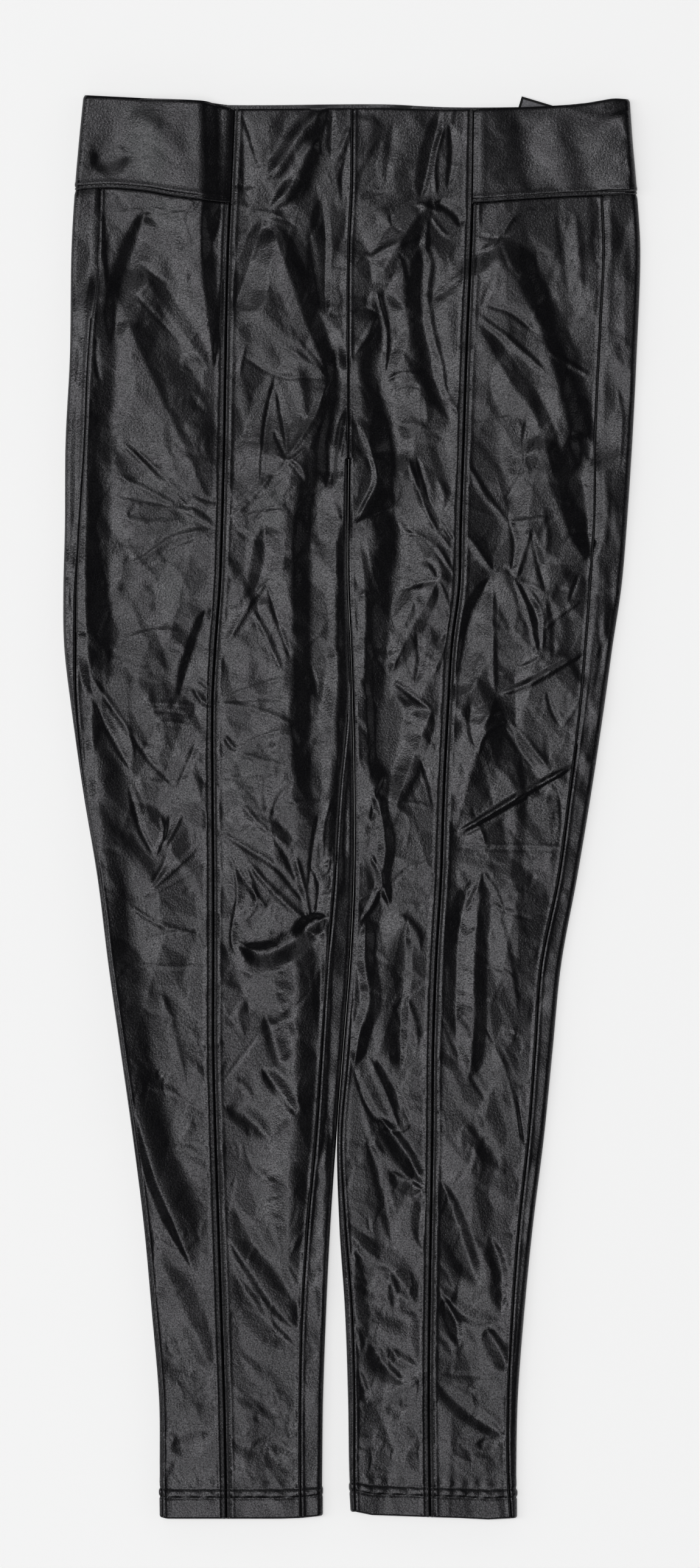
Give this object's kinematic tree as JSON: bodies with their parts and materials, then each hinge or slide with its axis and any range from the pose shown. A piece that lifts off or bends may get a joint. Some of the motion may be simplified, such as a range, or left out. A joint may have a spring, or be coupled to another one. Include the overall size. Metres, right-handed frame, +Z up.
{
  "type": "faux leather leggings",
  "caption": "Slim full-length faux leather leggings laid flat, front up, with panelled legs, puffed front seams, side waistbands and a plain tab at the back waist.",
  "frame": {"origin": "on the surface that the leggings lie on, under the middle of their bounding box", "axes": "+Y from the hems to the waist, +X to the viewer's right looking down on the front, +Z up off the surface, out of the front"},
  "size_m": [0.3979, 0.9819, 0.0078],
  "materials": {
    "faux_leather": "near-black coated leather, fine pebble grain, soft sheen",
    "label": "plain woven tab, matt"
  },
  "bodies": {
    "root": {"front_inner_left": "faux_leather", "front_outer_left": "faux_leather", "back_left": "faux_leather", "waistband_left": "faux_leather", "front_inner_right": "faux_leather", "front_outer_right": "faux_leather", "back_right": "faux_leather", "waistband_right": "faux_leather", "label": "label"}
  },
  "joints": []
}
